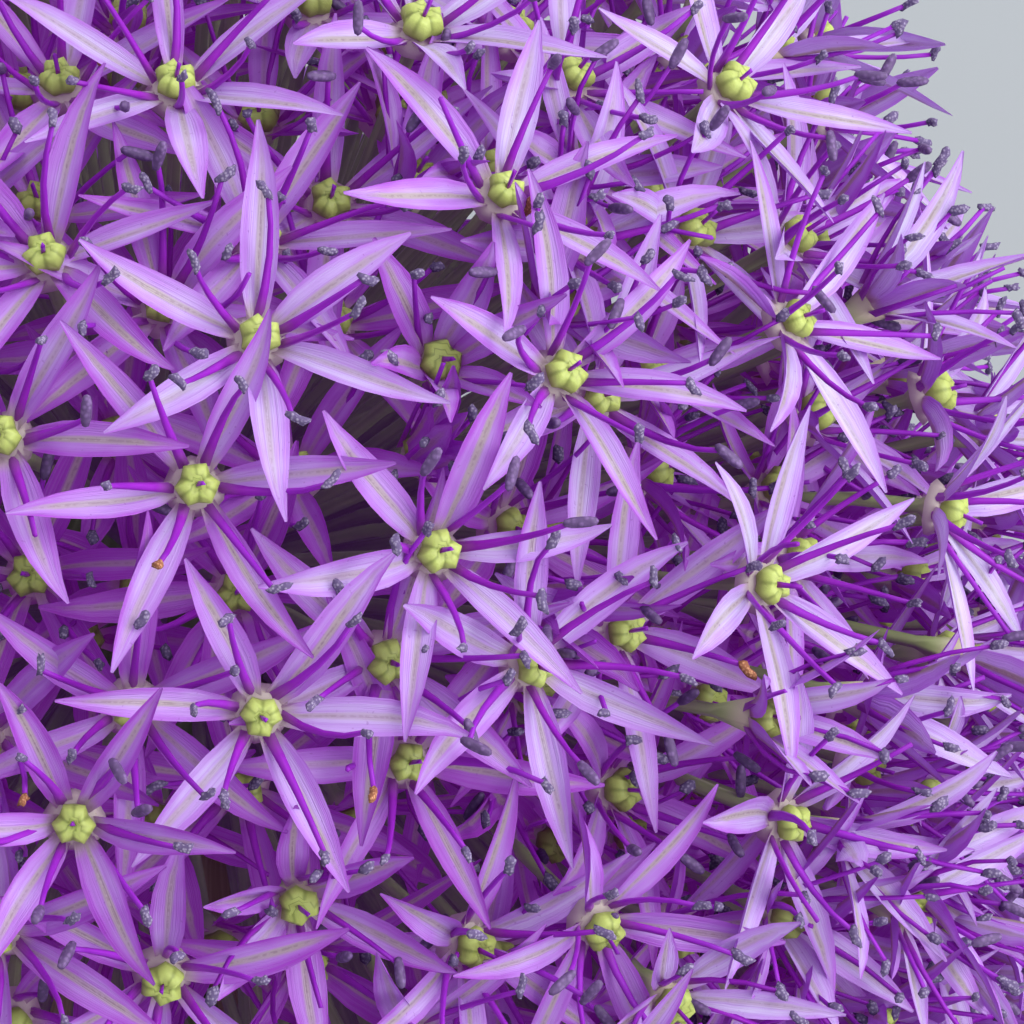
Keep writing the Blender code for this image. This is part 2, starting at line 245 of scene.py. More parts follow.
def let_light_through(tree, colour, share):
    """Mix the shader with a translucent one, because a thin piece glows when lit from behind."""
    through = add_node(tree, "ShaderNodeBsdfTranslucent", {"Color": colour})
    both = add_node(tree, "ShaderNodeMixShader", {
        0: share, 1: tree.nodes["Principled BSDF"].outputs[0], 2: through.outputs[0]})
    tree.links.new(both.outputs[0], tree.nodes["Material Output"].inputs["Surface"])


print("ready: groups, textures and materials")

# %% [markdown]
# ## Effects that several finishes share
#
# *Veins* are fine lines that run along a petal, a filament or a stalk. Noise stretched
# along one direction of the piece's own map gives lines that follow every bend. *Mottle*
# is the slow change of tone that keeps living tissue from looking painted.

# %% Veins and mottle


def veins_group():
    """Lines along a map's V direction: a mask and a height."""
    tree, given, put = new_group(
        "Veins", {"Map": None, "Lines": 24.0, "Waver": 1.6, "Seed": 0.0}, ("Mask", "Height"))
    parts = add_node(tree, "ShaderNodeSeparateXYZ", {0: given.outputs["Map"]})
    across = calculate(tree, "MULTIPLY", parts.outputs["X"], given.outputs["Lines"])
    along = calculate(tree, "MULTIPLY", parts.outputs["Y"], given.outputs["Waver"])
    depth = calculate(tree, "MULTIPLY", given.outputs["Seed"], 17.0)
    place = add_node(tree, "ShaderNodeCombineXYZ", {"X": across, "Y": along, "Z": depth})
    lines = noise(tree, place.outputs[0], 1.0, 0.6)
    tree.links.new(remap(tree, lines, 0.40, 0.66), put.inputs["Mask"])
    tree.links.new(lines, put.inputs["Height"])
    return tree


def mottle_group():
    """Slow and fine changes of tone over a surface."""
    tree, given, put = new_group("Mottle", {"Size": 300.0}, ("Slow", "Fine"))
    spot, size = object_place(tree), given.outputs["Size"]
    tree.links.new(noise(tree, spot, size), put.inputs["Slow"])
    finer = calculate(tree, "MULTIPLY", size, 9.0)
    tree.links.new(noise(tree, spot, finer, 0.7), put.inputs["Fine"])
    return tree


VEINS, MOTTLE = veins_group(), mottle_group()
print("shared effects:", VEINS.name, MOTTLE.name)

# %% Placing an effect, and reading a piece's map and tint


def place_group(tree, group, **inputs):
    """A shared effect placed in a material."""
    node = tree.nodes.new("ShaderNodeGroup")
    node.node_tree = group
    for label, value in inputs.items():
        feed(tree, node.inputs[label], value)
    return node.outputs


def bump(tree, height, strength, distance):
    """A Bump node's normal."""
    node = add_node(tree, "ShaderNodeBump", {"Height": height, "Strength": strength,
                                             "Distance": distance})
    return node.outputs["Normal"]


def length_map(tree):
    """A piece's Length map: the whole of it, its U and its V."""
    spot = add_node(tree, "ShaderNodeUVMap", uv_map="Length").outputs["UV"]
    parts = add_node(tree, "ShaderNodeSeparateXYZ", {0: spot}).outputs
    return spot, parts["X"], parts["Y"]


def tint_draws(tree):
    """The Tint attribute's draw for the tepal, the floret's draw with its painted light, and the depth
    that paints shade.
    """
    tint = add_node(tree, "ShaderNodeAttribute", attribute_name="Tint").outputs["Vector"]
    draws = add_node(tree, "ShaderNodeSeparateXYZ", {0: tint}).outputs
    return draws["X"], draws["Y"], draws["Z"]


print("ready: bumps, the Length map and the Tint")

# %% [markdown]
# ## The tepal's finish
#
# Every piece carries a map called *Length*: U runs across and V from base to tip. On a
# tepal's underside U is two more, so one material can tell the two faces apart. An
# attribute called *Tint* holds three numbers: one drawn for each tepal, one for each
# floret that is partly drawn and partly painted light from the side it faces, and how deep
# in the head the floret stands, which paints shade.
#
# A tepal runs from a very pale lilac to a strong purple. One number, *deep*, says where it
# stands between the two: it grows towards the edges and the tip, on the underside, and from
# one tepal and one floret to the next. It also grows deeper in the head, as painted shade,
# and it shrinks on the side the lamps light most, as painted light. A colour ramp turns it
# into purple. An olive-grey midrib with a fine dark line, thin veins, a few specks and a
# cream-grey base come on top.
#
# A tepal is thin enough to let light through, so the shader is mixed with a translucent one.
# Light is passed on from tepal to tepal many more times than a renderer follows it, and
# comes out purple. A faint glow of one colour on tepals and filaments, and of a duller one
# on pedicels, stands for that light.

# %% Tepal material
PURPLE_GLOW, GLOW_STRENGTH = (0.74, 0.03, 1.0, 1.0), 0.080
GAP_GLOW = (0.52, 0.11, 0.95, 1.0)      # of the pedicels, down between the florets


def tepal_material():
    material, tree, finish = new_material("tepal")
    spot, both_faces, along = length_map(tree)
    each_tepal, floret_draw_and_light, depth = tint_draws(tree)
    underside = calculate(tree, "GREATER_THAN", both_faces, 1.5)
    across = calculate(tree, "FRACT", both_faces)
    from_rib = calculate(tree, "ABSOLUTE", calculate(tree, "SUBTRACT", across, 0.5))

    broad = place_group(tree, VEINS, Map=spot, Lines=5.0, Waver=1.3, Seed=each_tepal)
    fine = place_group(tree, VEINS, Map=spot, Lines=32.0, Waver=1.5, Seed=each_tepal)
    tone = place_group(tree, MOTTLE, Size=330.0)
    deep = -0.57               # so that the palest tepals start at the ramp's low end
    # Painted light and shade: the floret's number is lower on the side the lamps light most, and depth
    # makes deeper florets a darker purple.
    for part, weight in (
        (broad["Height"], 0.52), (remap(tree, from_rib, 0.22, 0.50), 0.26),
        (remap(tree, along, 0.35, 1.0), 0.16), (floret_draw_and_light, 0.52), (each_tepal, 0.24),
        (depth, 0.50), (tone["Slow"], 0.40), (underside, 0.10),
    ):
        deep = calculate(tree, "MULTIPLY_ADD", part, weight, deep)
    colour = ramp(tree, deep, [
        (0.00, (0.63, 0.64, 0.77)), (0.28, (0.54, 0.43, 0.72)), (0.55, (0.46, 0.24, 0.66)),
        (0.80, (0.38, 0.10, 0.56)), (1.00, (0.31, 0.040, 0.46)),
    ])
    colour = tinged(tree, colour, (0.38, 0.18, 0.56), fine["Mask"], 0.38)

    rib_width = remap(tree, along, 0.10, 1.0, 0.085, 0.15)
    near_rib = calculate(tree, "DIVIDE", from_rib, rib_width)
    worn = calculate(tree, "MULTIPLY_ADD", each_tepal, 0.65, tone["Slow"])
    shown = calculate(tree, "MULTIPLY", remap(tree, along, 0.97, 0.66), worn, clamp=True)
    rib = calculate(tree, "MULTIPLY", remap(tree, near_rib, 1.35, 0.45), shown)
    line = calculate(tree, "MULTIPLY", remap(tree, near_rib, 0.45, 0.10), shown)
    line = calculate(tree, "MULTIPLY", line, remap(tree, tone["Fine"], 0.38, 0.60))
    green = mix(tree, underside, (0.41, 0.39, 0.29), (0.28, 0.26, 0.09))
    colour = tinged(tree, colour, green, rib, 0.85)
    colour = tinged(tree, colour, (0.16, 0.13, 0.10), line, 0.42)
    specks = remap(tree, tone["Fine"], 0.70, 0.78)
    colour = tinged(tree, colour, (0.16, 0.05, 0.26), specks, 0.35)
    colour = mix(tree, remap(tree, along, 0.16, 0.03), colour, (0.46, 0.42, 0.34))

    rough = calculate(tree, "MULTIPLY_ADD", tone["Fine"], 0.25, 0.36)
    finish(Base_Color=colour, Roughness=rough, Normal=bump(tree, fine["Height"], 0.7, 0.13 * MM),
           Specular_IOR_Level=0.30, Emission_Color=PURPLE_GLOW, Emission_Strength=GLOW_STRENGTH)
    let_light_through(tree, mix(tree, 0.4, colour, (0.55, 0.12, 0.80)), 0.32)
    return material


TEPAL = tepal_material()
print("made", TEPAL.name)

# %% [markdown]
# ## The finishes of the small parts
#
# Filaments are a strong, slightly glossy purple. An anther is smooth and violet-grey until
# it opens, then it shrivels to a grainy grey crumb, and a few old ones are rusty brown.
# The ovary is a fresh yellow-green with a waxy gloss.
#
# The grains of an anther could be modelled, but there are thousands of anthers. A texture of
# cells gives each grain its tone and lifts it with a bump, and costs no faces. The furrows of
# an ovary are in its shape, and a wave round its map paints shade into them.

# %% Filament material


def filament_material():
    material, tree, finish = new_material("filament")
    spot, _, along = length_map(tree)
    draw = tint_draws(tree)[0]
    colour = ramp(tree, along, [(0.0, (0.30, 0.11, 0.36)), (0.2, (0.20, 0.010, 0.32)),
                                (0.7, (0.15, 0.005, 0.27)), (1.0, (0.14, 0.004, 0.25))])
    lines = place_group(tree, VEINS, Map=spot, Lines=6.0, Waver=2.0, Seed=draw)
    colour = tinged(tree, colour, (0.28, 0.02, 0.42), lines["Mask"], 0.30)
    lighter = tinged(tree, colour, (0.25, 0.03, 0.50), draw, 0.35)
    rough = calculate(tree, "MULTIPLY_ADD", lines["Height"], 0.25, 0.30)
    finish(Base_Color=lighter, Roughness=rough, Normal=bump(tree, lines["Height"], 0.3, 0.05 * MM),
           Specular_IOR_Level=0.18, Emission_Color=PURPLE_GLOW,
           Emission_Strength=0.6 * GLOW_STRENGTH)
    return material


FILAMENT = filament_material()
print("made", FILAMENT.name)

# %% Anther materials


def anther_material(name, dark, pale, grain, rough):
    """An anther's skin: grains of two tones, as deep as the stage of the anther asks."""
    material, tree, finish = new_material(name)
    cells, tone = grains(tree, grain), place_group(tree, MOTTLE, Size=900.0)
    colour = mix(tree, remap(tree, cells, 0.15, 0.60), pale, dark)
    colour = tinged(tree, colour, dark, tone["Slow"], 0.6)
    height = calculate(tree, "SUBTRACT", 1.0, cells)
    finish(Base_Color=colour, Roughness=rough, Normal=bump(tree, height, 0.7, 0.08 * MM),
           Specular_IOR_Level=0.25)
    return material


FRESH = anther_material("anther_fresh", (0.085, 0.045, 0.13), (0.17, 0.095, 0.25), 2600.0, 0.45)
OPENED = anther_material("anther_opened", (0.095, 0.065, 0.15), (0.31, 0.26, 0.38), 4200.0, 0.85)
RUSTY = anther_material("anther_rusty", (0.22, 0.08, 0.04), (0.55, 0.27, 0.14), 5200.0, 0.7)
print("made", FRESH.name, OPENED.name, RUSTY.name)

# %% Ovary material


def ovary_material():
    material, tree, finish = new_material("ovary")
    _, around, up = length_map(tree)
    tone = place_group(tree, MOTTLE, Size=700.0)
    colour = ramp(tree, up, [
        (0.0, (0.38, 0.36, 0.20)), (0.35, (0.30, 0.37, 0.09)), (0.80, (0.40, 0.47, 0.12)),
        (0.94, (0.34, 0.37, 0.12)), (1.0, (0.16, 0.05, 0.22))])
    wave = calculate(tree, "COSINE", calculate(tree, "MULTIPLY", around, 6 * pi))   # six zeros
    # Painted shade: the furrows between the lobes are darkened in colour, from about a third of the
    # way up.
    groove = remap(tree, calculate(tree, "ABSOLUTE", wave), 0.60, 0.0)
    groove = calculate(tree, "MULTIPLY", groove, remap(tree, up, 0.30, 0.62))
    colour = tinged(tree, colour, (0.12, 0.15, 0.03), groove, 0.65)
    colour = tinged(tree, colour, (0.27, 0.33, 0.06), tone["Slow"], 0.4)
    rough = calculate(tree, "MULTIPLY_ADD", tone["Fine"], 0.2, 0.34)
    finish(Base_Color=colour, Roughness=rough, Normal=bump(tree, tone["Fine"], 0.35, 0.06 * MM),
           Specular_IOR_Level=0.35)
    return material


OVARY = ovary_material()
print("made", OVARY.name)

# %% [markdown]
# ## The green parts and the papery bracts
#
# A pedicel is olive where it rises between the florets. The stalk is a smooth grey-green
# with long faint streaks, and its cut end shows pale, wet tissue. The bracts have dried to
# thin tan paper with veins that run from base to tip.
#
# The three differ only in colour and in how many streaks they have, so one function makes
# them all from the shared veins. The veins follow the Length map, so they bend with the piece.

# %% Pedicel, stalk, cut end and bract materials


def streaky_material(name, base, streak, lines, waver, rough, depth, tip=None, glow=None):
    """Plant tissue with long streaks that follow the piece."""
    material, tree, finish = new_material(name)
    spot, _, along = length_map(tree)
    veins = place_group(tree, VEINS, Map=spot, Lines=lines, Waver=waver)
    tone = place_group(tree, MOTTLE, Size=180.0)
    colour = tinged(tree, base, streak, veins["Mask"], 0.7)
    if tip:
        colour = mix(tree, remap(tree, along, 0.80, 1.0), colour, tip)
    shade = add_node(tree, "ShaderNodeHueSaturation", {
        "Value": calculate(tree, "MULTIPLY_ADD", tone["Slow"], 0.5, 0.75), "Color": colour})
    roughness = calculate(tree, "MULTIPLY_ADD", tone["Fine"], 0.25, rough)
    finish(Base_Color=shade.outputs["Color"], Roughness=roughness,
           Normal=bump(tree, veins["Height"], 0.6, depth))
    if glow:
        finish(Emission_Color=GAP_GLOW, Emission_Strength=glow)
    return material


PEDICEL = streaky_material("pedicel", (0.20, 0.27, 0.06), (0.31, 0.38, 0.13), 5.0, 3.0, 0.35,
                           0.05 * MM, tip=(0.38, 0.31, 0.22), glow=0.4 * GLOW_STRENGTH)
STALK = streaky_material("stalk_skin", (0.17, 0.24, 0.09), (0.27, 0.34, 0.17), 70.0, 5.0, 0.38,
                         0.10 * MM)
BRACT = streaky_material("dry_bract", (0.50, 0.38, 0.24), (0.66, 0.54, 0.38), 34.0, 2.5, 0.6,
                         0.12 * MM)


def cut_material():
    material, tree, finish = new_material("cut_tissue")
    cells, tone = grains(tree, 2200.0), place_group(tree, MOTTLE, Size=500.0)
    colour = mix(tree, remap(tree, cells, 0.1, 0.6), (0.52, 0.58, 0.34), (0.34, 0.42, 0.18))
    colour = tinged(tree, colour, (0.44, 0.46, 0.26), tone["Slow"], 0.5)
    finish(Base_Color=colour, Roughness=calculate(tree, "MULTIPLY_ADD", tone["Fine"], 0.2, 0.22),
           Normal=bump(tree, cells, 0.5, 0.10 * MM))
    return material


CUT = cut_material()
print("made", PEDICEL.name, STALK.name, BRACT.name, CUT.name)

# %% [markdown]
# ## Reading the florets back from the solids
#
# In each spray solid, every star ends in one corner where only three edges meet: the tip
# of its ovary. The three corners next to it are the collar, and the twelve beyond them are
# the tips and notches of the tepals. The notches lie in the floret's own plane, so their
# middle is its centre.

# %% Read the florets
SHELL = 45 * MM          # nothing nearer to the centre than this belongs to a star


def welded(node):
    """A copy of a node's mesh with its loose triangles joined."""
    bm = bmesh.new()
    bm.from_mesh(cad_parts[node].data)
    bmesh.ops.remove_doubles(bm, verts=bm.verts, dist=0.002 * MM)
    return bm


def neighbours(verts):
    """The corners joined by an edge to any of these, and not among them."""
    return {edge.other_vert(vert) for vert in verts for edge in vert.link_edges} - set(verts)


def middle_of(verts):
    return sum((vert.co for vert in verts), Vector()) / len(verts)


def read_spray(node):
    """Each floret of a spray as a frame and its six tips, and the spray's foot."""
    bm = welded(node)
    florets = []
    for apex in bm.verts:
        if len(apex.link_edges) != 3 or (apex.co - centre).length < SHELL:
            continue
        collar = neighbours([apex])
        rim = sorted(neighbours(collar) - {apex}, key=lambda vert: (vert.co - apex.co).length)
        notches, tips = rim[:len(rim) // 2], rim[len(rim) // 2:]
        axis = (apex.co - middle_of(collar)).normalized()
        florets.append({"hub": middle_of(notches), "axis": axis,
                        "tips": [vert.co.copy() for vert in tips]})
    foot = middle_of(sorted(bm.verts, key=lambda vert: (vert.co - centre).length)[:3])
    bm.free()
    return florets, foot


spray_nodes = sorted(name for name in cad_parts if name.startswith("floret_spray"))
sprays = {name: read_spray(name) for name in spray_nodes}
print("florets read:", sum(len(florets) for florets, _ in sprays.values()),
      "tips:", {len(floret["tips"]) for florets, _ in sprays.values() for floret in florets})

# %% [markdown]
# ## Masters: small shapes that are made once
#
# The head holds thousands of tepals, filaments and anthers. Each kind is modelled once as
# a master with a few dozen faces, in a simple pose: a blade lies flat with its length
# along Y, and a tube stands along Z. A copy is then bent to its place point by point.
#
# The blade is a lens: a top sheet and a bottom sheet welded at their rims. It stays closed
# and keeps a thin, crisp edge, because the edges of the rim are marked sharp.

# %% Finishes in slot order, and the map of a tube
FINISHES = [TEPAL, FILAMENT, FRESH, OPENED, RUSTY, OVARY, PEDICEL, STALK, CUT, BRACT]


def mesh_from(bm, name):
    mesh = bpy.data.meshes.new(name)
    bm.to_mesh(mesh)
    bm.free()
    return mesh


def finished(bm, name, finish):
    """A master mesh from a bmesh, smooth and in one finish."""
    for face in bm.faces:
        face.smooth = True
        face.material_index = FINISHES.index(finish)
    mesh = mesh_from(bm, name)
    print(f"{name}: {len(mesh.polygons)} faces")
    return mesh


def fill_map(bm, faces, place):
    """Fill the Length map: place() gives U and V for a corner of a face."""
    layer = bm.loops.layers.uv.get("Length") or bm.loops.layers.uv.new("Length")
    for face in faces:
        for loop in face.loops:
            loop[layer].uv = place(face, loop.vert.co)
    return layer


def map_tube(bm, low=0.0, high=1.0):
    """The map of an upright tube: U once round it, V from its low to its high end."""
    def place(face, corner):
        middle = face.calc_center_median()
        bearing = atan2(middle.y, middle.x)
        away = atan2(corner.y, corner.x) - bearing
        away = (away + pi) % (2 * pi) - pi
        return (bearing + away) / (2 * pi) + 0.5, (corner.z - low) / (high - low)

    fill_map(bm, bm.faces, place)


print("finishes:", len(FINISHES))

# %% Tepal blade
BLADE_ACROSS, BLADE_ALONG = 4, 7


def blade(name, across, along, finish=TEPAL):
    """A closed lens one unit long whose U runs 0 to 1 above and 2 to 3 below."""
    bm = bmesh.new()
    bmesh.ops.create_grid(bm, x_segments=across, y_segments=along, size=1.0)
    for vert in bm.verts:
        vert.co.y = (vert.co.y + 1) / 2
    top = list(bm.faces)
    copied = bmesh.ops.duplicate(bm, geom=top)["geom"]
    bottom = [item for item in copied if isinstance(item, bmesh.types.BMFace)]
    bmesh.ops.reverse_faces(bm, faces=bottom)
    layer = fill_map(bm, top, lambda face, corner: ((corner.x + 1) / 2, corner.y))
    fill_map(bm, bottom, lambda face, corner: (2.0 + (corner.x + 1) / 2, corner.y))
    for vert in {vert for face in bottom for vert in face.verts}:
        if not vert.is_boundary:
            vert.co.z = -1.0
    bmesh.ops.remove_doubles(bm, verts=bm.verts, dist=0.001)
    for edge in bm.edges:
        sides = {loop[layer].uv.x >= 1.5 for face in edge.link_faces for loop in face.loops}
        edge.smooth = len(sides) == 1
    return finished(bm, name, finish)


BLADE = blade("blade", BLADE_ACROSS, BLADE_ALONG)
PLAIN_BLADE = blade("plain_blade", 2, 6)
BRACT_BLADE = blade("bract_blade", 14, 24, BRACT)

# %% Tubes for filaments and pedicels


def tube(name, sides, parts, finish):
    """An upright closed tube of unit radius and unit height, cut into equal parts."""
    bm = bmesh.new()
    bmesh.ops.create_cone(bm, cap_ends=True, segments=sides, radius1=1.0, radius2=1.0, depth=1.0,
                          matrix=Matrix.Translation((0, 0, 0.5)))
    upright = [edge for edge in bm.edges if abs(edge.verts[0].co.z - edge.verts[1].co.z) > 0.5]
    bmesh.ops.subdivide_edges(bm, edges=upright, cuts=parts - 1, use_grid_fill=True)
    map_tube(bm)
    return finished(bm, name, finish)


FILAMENT_TUBE = tube("filament_tube", 5, 4, FILAMENT)
PLAIN_FILAMENT = tube("plain_filament", 3, 3, FILAMENT)
PEDICEL_TUBE = tube("pedicel_tube", 6, 6, PEDICEL)
PLAIN_PEDICEL = tube("plain_pedicel", 5, 4, PEDICEL)

# %% [markdown]
# An unopened anther is a smooth bean with a groove down its face. An opened one has burst
# and curled up, so its master is a small icosphere with every corner pushed in or out.
# A handful of different crumbs keeps the eye from finding twins.
#
# The ovary is a ball of twelve columns of corners. Pulling every other column in gives the
# six plump lobes, in three pairs, and a dent at the top holds the style. It sits on a low
# round pad, where the tepals and filaments of the floret meet.

# %% Anthers


def fresh_anther():
    bm = bmesh.new()
    bmesh.ops.create_uvsphere(bm, u_segments=8, v_segments=6, radius=1.0)
    for vert in bm.verts:
        groove = 1.0 - 0.38 * max(0.0, vert.co.y) * (1 - abs(vert.co.z)) * (abs(vert.co.x) < 0.3)
        fullness = 1.0 + 0.35 * vert.co.z**2
        vert.co = (vert.co.x * fullness, vert.co.y * groove * fullness, vert.co.z)
    map_tube(bm)
    return finished(bm, "fresh_anther", FRESH)


def opened_anther(number, finish, parts=2):
    bm = bmesh.new()
    bmesh.ops.create_icosphere(bm, subdivisions=parts, radius=1.0)
    for vert in bm.verts:
        waist = 1.0 - 0.30 * exp(-(vert.co.z / 0.3) ** 2)
        vert.co *= waist * rng.uniform(0.72, 1.22)
        vert.co.x += 0.30 * vert.co.z**2
    map_tube(bm)
    return finished(bm, f"{finish.name}_{number}", finish)


FRESH_ANTHER = fresh_anther()
OPENED_ANTHERS = [opened_anther(number, OPENED) for number in range(5)]
RUSTY_ANTHERS = [opened_anther(number, RUSTY) for number in range(2)]
PLAIN_ANTHER = opened_anther(9, OPENED, parts=1)

# %% Ovary and hub


def ovary(name, rows):
    bm = bmesh.new()
    bmesh.ops.create_uvsphere(bm, u_segments=12, v_segments=rows, radius=1.0)
    for vert in bm.verts:
        around = atan2(vert.co.y, vert.co.x)
        furrow = abs(sin(3 * around)) * (0.31 + 0.13 * sin(3 * around))
        upper = max(0.0, vert.co.z)
        away = hypot(vert.co.x, vert.co.y)
        lobe = 1.08 - furrow * (0.55 + 0.75 * upper) + 0.10 * upper - 0.06 * (vert.co.z < -0.5)
        dent = 0.40 * exp(-(away / 0.32) ** 2) * (upper > 0)
        sag = 0.35 * furrow * upper * away
        vert.co = (vert.co.x * lobe, vert.co.y * lobe, (vert.co.z + 1) / 2 - dent - sag)
    map_tube(bm)
    return finished(bm, name, OVARY)


def hub_pad():
    """A low dome one unit wide, mapped as the very base of a tepal."""
    bm = bmesh.new()
    bmesh.ops.create_cone(bm, cap_ends=True, segments=9, radius1=1.0, radius2=0.72, depth=1.0)
    fill_map(bm, bm.faces, lambda face, corner: (0.5, 0.0))
    return finished(bm, "hub_pad", TEPAL)


OVARY_BALL = ovary("ovary_ball", 7)
PLAIN_OVARY = ovary("plain_ovary", 4)
HUB_PAD = hub_pad()

# %% [markdown]
# ## Bending a master to its place
#
# A path is a cubic curve given by where it starts, which way it sets off, where it ends and
# which way it arrives. At any place along it there is a frame: ahead, to the side, and up.
# A blade, a filament and a pedicel differ only in what they do with that frame.
#
# A curve object could carry each of them, but thousands of curves would be slow to turn into
# meshes. Here a copy of a master is added and its corners are moved, which takes no time.

# %% Paths and copies


class Path:
    """A cubic curve with a frame at any place along it."""

    def __init__(self, start, heading, end, arrival, side, twist=0.0):
        reach = (end - start).length / 3
        self.corners = (start, start + heading * reach, end - arrival * reach, end)
        self.side, self.twist = side, twist
        self.known = {}

    def at(self, part):
        """The spot at this part of the way, with its side, up and ahead directions."""
        key = round(part, 4)
        if key not in self.known:
            first, second, third, last = self.corners
            left = 1 - part
            spot = (first * left**3 + second * (3 * left * left * part)
                    + third * (3 * left * part * part) + last * part**3)
            ahead = ((second - first) * left * left + (third - second) * (2 * left * part)
                     + (last - third) * part * part).normalized()
            side = (self.side - ahead * self.side.dot(ahead)).normalized()
            if self.twist:
                side = Matrix.Rotation(self.twist * part, 3, ahead) @ side
            self.known[key] = (spot, side, ahead.cross(side), ahead)
        return self.known[key]


FLOOR_GAP = 0.2 * MM


def grow(bm, master, place, tint):
    """Add a copy of a master, each point sent where place() says, above the surface."""
    first = len(bm.verts)
    bm.from_mesh(master)
    bm.verts.ensure_lookup_table()
    layer = bm.verts.layers.float_vector["Tint"]
    for vert in bm.verts[first:]:
        spot = place(vert.co)
        spot.z = max(spot.z, FLOOR_GAP)
        vert.co = spot
        vert[layer] = tint


def set_down(bm, master, middle, ways, sizes, tint):
    """Add a copy of a master with its X, Y and Z laid along three directions."""
    turn = Matrix([way * size for way, size in zip(ways, sizes)]).transposed()
    grow(bm, master, lambda corner: middle + turn @ corner, tint)


def turned(first, second, angle):
    """The direction that stands at an angle from the first of two, towards the second."""
    return first * cos(angle) + second * sin(angle)


print("paths are ready")

# %% [markdown]
# ## One tepal
#
# The blade is widest two fifths of the way out and ends in a sharp tip. Its sides rise from
# the midrib like a shallow gutter. It sets off from the hub, arches a little, turns a few
# degrees about its own length, and lands on the tip that the solid gave.
#
# One finished tepal could be copied and turned, but copies side by side show as twins. So
# each is bent anew along a path of its own.

# %% Tepal
TEPAL_HALF_WIDTH = 1.25 * MM
TEPAL_START = 1.0 * MM         # distance from the floret's axis
TEPAL_THICKNESS = 0.30 * MM
WIDEST = 0.40


def tepal_outline(along):
    """Half the width at a place along the blade, as a share of the widest."""
    if along < WIDEST:
        return 0.42 + 0.58 * sin(pi / 2 * along / WIDEST)
    return max(0.09, 1 - ((along - WIDEST) / (1 - WIDEST)) ** 2.05)


def tepal(bm, master, path, half_width, fold, tint):
    """A blade bent along a path, its sides raised by fold."""
    def place(corner):
        spot, side, up, _ = path.at(corner.y)
        width = half_width * tepal_outline(corner.y)
        rise = fold * width * abs(corner.x) ** 1.3
        sink = TEPAL_THICKNESS * corner.z * (1 - 0.5 * corner.y) * (1 - corner.x**2)
        return spot + side * (corner.x * width) + up * (rise + sink)

    grow(bm, master, place, tint)


print("widest tepal:", round(2 * TEPAL_HALF_WIDTH / MM, 2), "mm")

# %% Filament and anther
FILAMENT_LENGTH = 9.2 * MM
FILAMENT_START = 1.55 * MM
FILAMENT_BASE, FILAMENT_TIP = 0.39 * MM, 0.19 * MM
FRESH_HALVES = (1.25 * MM, 0.40 * MM)             # half the length and half the width
OPENED_LENGTHS, OPENED_WIDTHS = (0.62, 0.98), (0.34, 0.45)    # halves too, in millimetres
RUSTY_SHARE, ANTHER_HOLD = 0.03, 0.45      # the filament holds an anther off its middle


def filament(bm, path, base, tint, master=FILAMENT_TUBE):
    """A filament: flat and broad where it starts, round and thin at its tip."""
    def place(corner):
        spot, side, up, _ = path.at(corner.z)
        radius = FILAMENT_TIP + (base - FILAMENT_TIP) * (1 - corner.z) ** 1.6
        flat = 0.62 + 0.38 * corner.z
        return spot + side * (corner.x * radius) + up * (corner.y * radius * flat)

    grow(bm, master, place, tint)


def anther(bm, path, fresh, plain, tint):
    """An anther on a filament's tip, swung to any side."""
    spot, side, up, ahead = path.at(1.0)
    swing = Matrix.Rotation(rng.uniform(0, 2 * pi), 3, ahead)
    tip_over = rng.uniform(0.1, 1.3)
    long_way = swing @ turned(ahead, side, tip_over)
    wide_way = swing @ up
    flat_way = long_way.cross(wide_way)
    if fresh:
        master, (half_length, half_width) = FRESH_ANTHER, FRESH_HALVES
    else:
        pool = RUSTY_ANTHERS if rng.random() < RUSTY_SHARE else OPENED_ANTHERS
        master = PLAIN_ANTHER if plain else pool[rng.integers(len(pool))]
        half_length = rng.uniform(*OPENED_LENGTHS) * MM
        half_width = rng.uniform(*OPENED_WIDTHS) * MM
    middle = spot + long_way * (half_length * ANTHER_HOLD)
    set_down(bm, master, middle, (wide_way, flat_way, long_way),
             (half_width, half_width, half_length), tint)


print("filament:", round(FILAMENT_LENGTH / MM, 1), "mm long")

# %% Ovary, style and pedicel
OVARY_HALF_WIDTH, OVARY_TALL, OVARY_SIZES = 1.42 * MM, 2.6 * MM, (0.92, 1.08)
STYLE_BASE, STYLE_LENGTHS = 0.26 * MM, (1.7, 2.3)     # the lengths in millimetres
PAD_RADIUS, PAD_TALL = 2.15 * MM, 0.9 * MM
PEDICEL_RADIUS = 0.52 * MM
HUB_RADIUS, HUB_DEPTH = 1.60 * MM, 0.9 * MM


def ovary_and_style(bm, hub, east, north, axis, plain, tint):
    """The lobed ovary on the hub, and the short style in its dent."""
    size, ways = rng.uniform(*OVARY_SIZES), (east, north, axis)
    wide, tall = OVARY_HALF_WIDTH * size, OVARY_TALL * size
    set_down(bm, PLAIN_OVARY if plain else OVARY_BALL, hub, ways, (wide, wide, tall), tint)
    if not plain:
        set_down(bm, HUB_PAD, hub, ways, (PAD_RADIUS, PAD_RADIUS, PAD_TALL), tint)
    foot = hub + axis * (OVARY_TALL * 0.6)
    way = (axis + east * rng.uniform(-0.2, 0.2) + north * rng.uniform(-0.2, 0.2)).normalized()
    style = Path(foot, way, foot + way * rng.uniform(*STYLE_LENGTHS) * MM, way, east)
    filament(bm, style, STYLE_BASE, tint, PLAIN_FILAMENT)


